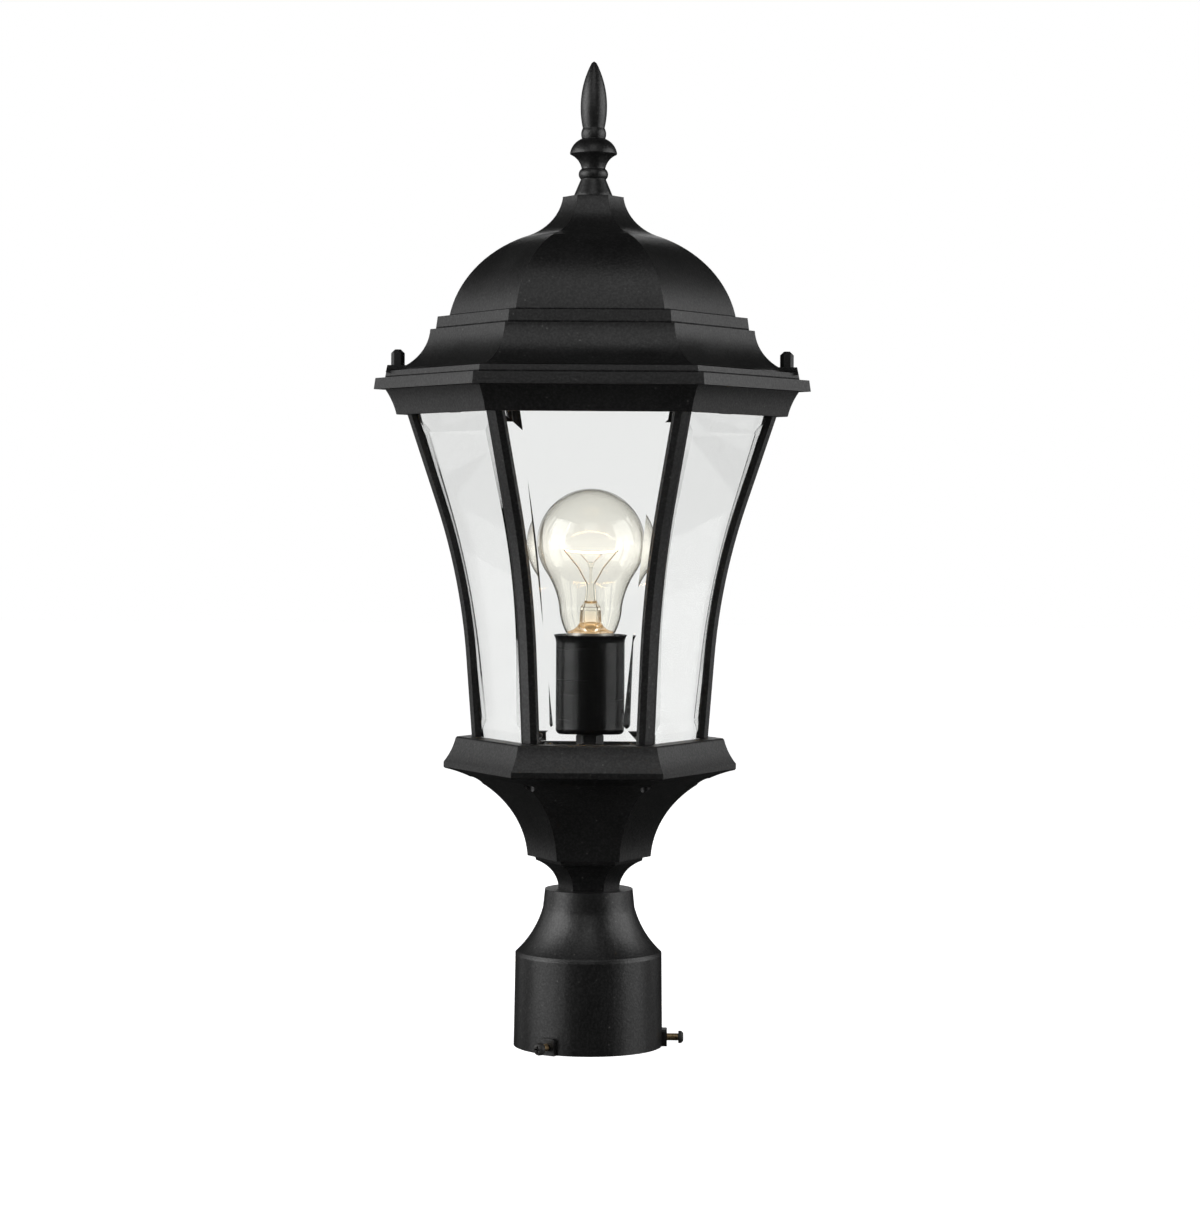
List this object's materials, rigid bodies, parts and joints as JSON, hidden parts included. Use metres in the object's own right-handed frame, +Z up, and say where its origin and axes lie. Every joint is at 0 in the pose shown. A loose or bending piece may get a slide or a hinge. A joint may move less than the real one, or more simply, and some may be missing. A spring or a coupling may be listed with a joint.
{
  "type": "post top lantern",
  "caption": "Six-sided black post top lantern with bent bevelled glass, ogee roof, turned finial, clear bulb and a round slip fitter with set screws.",
  "frame": {"origin": "centre of the fitter's lower rim, on the post axis", "axes": "+Z up the post axis to the finial; hexagon corners on +X and -X, flat sides facing +Y and -Y; -Y faces the viewer"},
  "size_m": [0.2446, 0.2118, 0.5504],
  "materials": {
    "black_casting": "black powder coat with a fine grain on cast aluminium",
    "black_hardware": "black coated steel hardware",
    "socket_black": "smooth black enamel on a drawn steel cup",
    "zinc_steel": "zinc plated steel",
    "set_screw_steel": "yellow zinc plated shank with a darkened head",
    "phenolic": "moulded dark phenolic",
    "brass": "bright drawn brass",
    "pane_glass": "clear bent glass with ground and polished bevels",
    "bulb_glass": "clear thin blown glass",
    "lamp_base_metal": "rolled bright metal lamp base",
    "lamp_base_insulator": "black vitreous insulator",
    "lead_wire": "bare nickel alloy wire",
    "tungsten": "tungsten coil"
  },
  "bodies": {
    "root": {"fitter_collar": "black_casting", "base_casting": "black_casting", "floor_plate": "black_hardware", "floor_plate_screws": "black_hardware", "neck_tube": "zinc_steel", "neck_washer_lower": "zinc_steel", "neck_nut_lower": "zinc_steel", "neck_washer_upper": "zinc_steel", "neck_nut_upper": "zinc_steel", "socket_tube": "zinc_steel", "socket_lock_washer": "black_hardware", "socket_nut_upper": "black_hardware", "socket_nut_lower": "zinc_steel", "socket_cup": "socket_black", "socket_insulator": "phenolic", "socket_screw_shell": "brass", "socket_center_contact": "brass", "rib_1": "black_casting", "rib_2": "black_casting", "rib_3": "black_casting", "rib_4": "black_casting", "rib_5": "black_casting", "rib_6": "black_casting", "glass_pane_1": "pane_glass", "glass_pane_2": "pane_glass", "glass_pane_3": "pane_glass", "glass_pane_4": "pane_glass", "glass_pane_5": "pane_glass", "glass_pane_6": "pane_glass", "top_ring": "black_casting", "rib_screws_upper": "black_hardware", "rib_screws_lower": "black_hardware", "glass_clips": "black_hardware", "clip_screws": "black_hardware", "roof_studs": "zinc_steel"},
    "roof": {"roof": "black_casting", "finial": "black_casting", "finial_stud": "zinc_steel", "finial_lock_washer": "zinc_steel", "finial_nut": "zinc_steel"},
    "cap_nut_left": {"cap_nut_left": "black_hardware"},
    "cap_nut_right": {"cap_nut_right": "black_hardware"},
    "bulb": {"bulb_envelope": "bulb_glass", "bulb_base_shell": "lamp_base_metal", "bulb_base_insulator": "lamp_base_insulator", "bulb_base_contact": "lamp_base_metal", "bulb_stem": "bulb_glass", "bulb_lead_wires": "lead_wire", "bulb_filament": "tungsten", "bulb_supports": "lead_wire"},
    "set_screw_1": {"set_screw_1": "set_screw_steel"},
    "set_screw_2": {"set_screw_2": "set_screw_steel"},
    "set_screw_3": {"set_screw_3": "set_screw_steel"}
  },
  "joints": [
    {"name": "roof_lift", "type": "slide", "parent": "root", "child": "roof", "axis": [0, 0, 1], "range_m": [0, 0.15]},
    {"name": "cap_nut_left_lift", "type": "slide", "parent": "roof", "child": "cap_nut_left", "axis": [0, 0, 1], "range_m": [0, 0.025]},
    {"name": "cap_nut_right_lift", "type": "slide", "parent": "roof", "child": "cap_nut_right", "axis": [0, 0, 1], "range_m": [0, 0.025]},
    {"name": "bulb_lift", "type": "slide", "parent": "root", "child": "bulb", "axis": [0, 0, 1], "range_m": [0, 0.1]},
    {"name": "set_screw_1_drive", "type": "slide", "parent": "root", "child": "set_screw_1", "axis": [-1, 0, 0], "range_m": [0, 0.006]},
    {"name": "set_screw_2_drive", "type": "slide", "parent": "root", "child": "set_screw_2", "axis": [0.5, -0.866, 0], "range_m": [0, 0.006]},
    {"name": "set_screw_3_drive", "type": "slide", "parent": "root", "child": "set_screw_3", "axis": [0.5, 0.866, 0], "range_m": [0, 0.006]}
  ]
}
